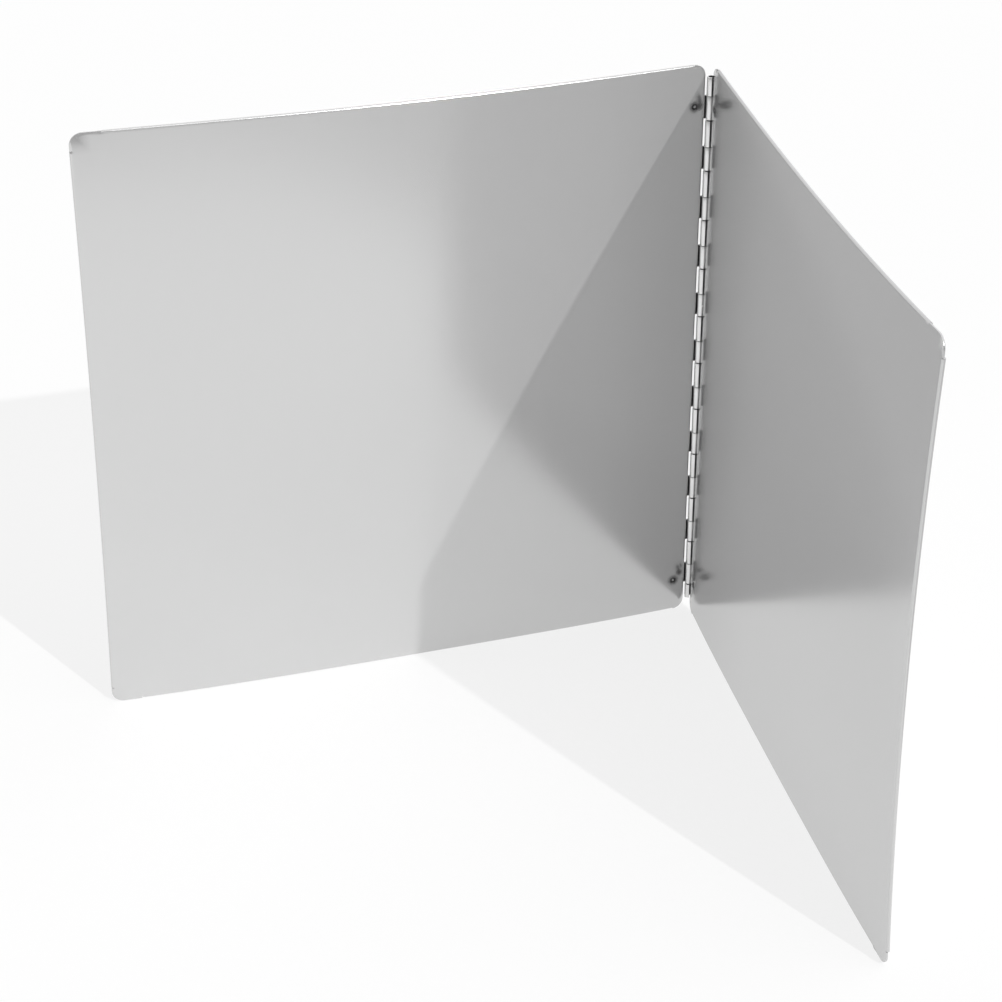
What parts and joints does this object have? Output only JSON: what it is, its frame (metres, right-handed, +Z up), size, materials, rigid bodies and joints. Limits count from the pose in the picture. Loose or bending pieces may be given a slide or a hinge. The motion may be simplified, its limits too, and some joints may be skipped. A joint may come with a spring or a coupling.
{
  "type": "folding splash guard",
  "caption": "Free-standing folding splash guard: hemmed stainless sheets joined along one edge by a continuous hinge, so they stand in a V round a pan or stove and fold flat.",
  "frame": {"origin": "middle of the bounding box on the surface that the guard stands on", "axes": "+Z up along the hinge pin, -Y towards the open side in front of the left sheet, +X towards the right sheet"},
  "size_m": [0.3032, 0.3026, 0.2957],
  "materials": {
    "panel_steel": "bright annealed sheet, smooth with a soft sheen",
    "hinge_steel": "rolled hinge stock, smooth",
    "pin_steel": "drawn wire"
  },
  "bodies": {
    "left_side": {"left_panel": "panel_steel", "left_hinge_leaf": "hinge_steel"},
    "right_side": {"right_panel": "panel_steel", "right_hinge_leaf": "hinge_steel", "hinge_pin": "pin_steel"}
  },
  "joints": [
    {"name": "panel_fold", "type": "hinge", "parent": "left_side", "child": "right_side", "pos_m": [0.1496, 0.1483, 0.1478], "axis": [0, 0, 1], "range_deg": [-78.5, 191]}
  ]
}
